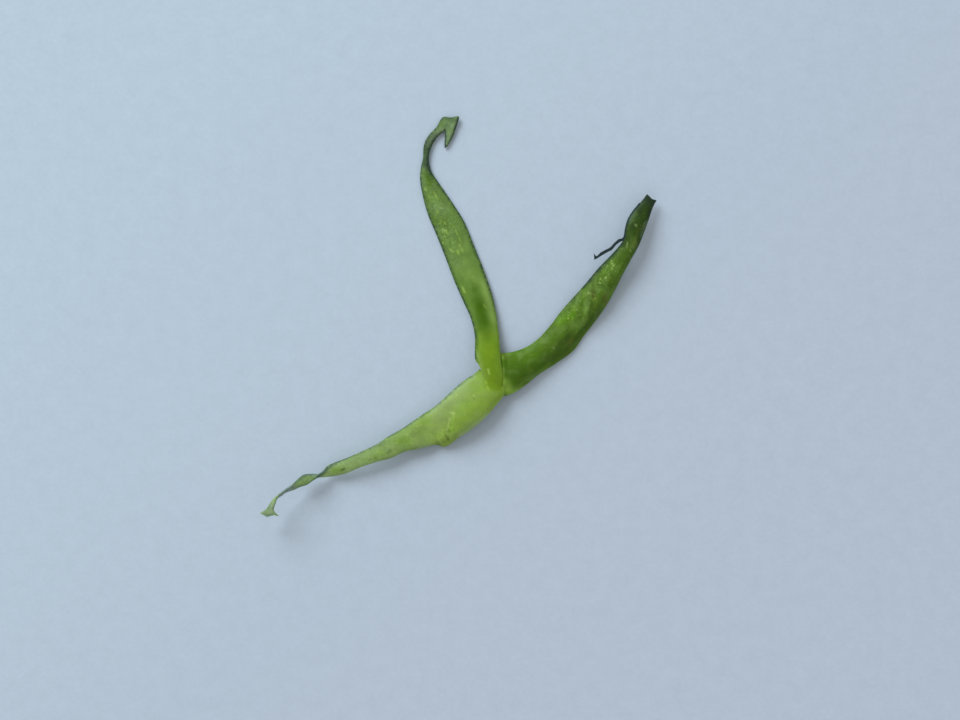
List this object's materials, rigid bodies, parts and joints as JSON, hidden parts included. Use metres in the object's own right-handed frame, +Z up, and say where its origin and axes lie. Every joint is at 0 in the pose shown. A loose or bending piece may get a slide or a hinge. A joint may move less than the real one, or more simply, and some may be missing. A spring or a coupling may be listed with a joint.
{
  "type": "bogmat",
  "caption": "Small floating water plant: strap-shaped fronds with twisted, hooked and torn tips, parting from one pouch and lying on a flat surface.",
  "frame": {"origin": "on the surface that the plant lies on, under the middle of its outline", "axes": "+Z up from the surface; seen from above, +X points right and +Y points along the left daughter frond, towards its hook"},
  "size_m": [0.0109, 0.011, 0.0008],
  "materials": {
    "mother_frond": "moist, pale and slightly see-through",
    "left_daughter_frond": "moist leaf",
    "right_daughter_frond": "moist leaf, deep green"
  },
  "bodies": {
    "root": {"mother_frond": "mother_frond", "left_daughter_frond": "left_daughter_frond", "right_daughter_frond": "right_daughter_frond"}
  },
  "joints": []
}
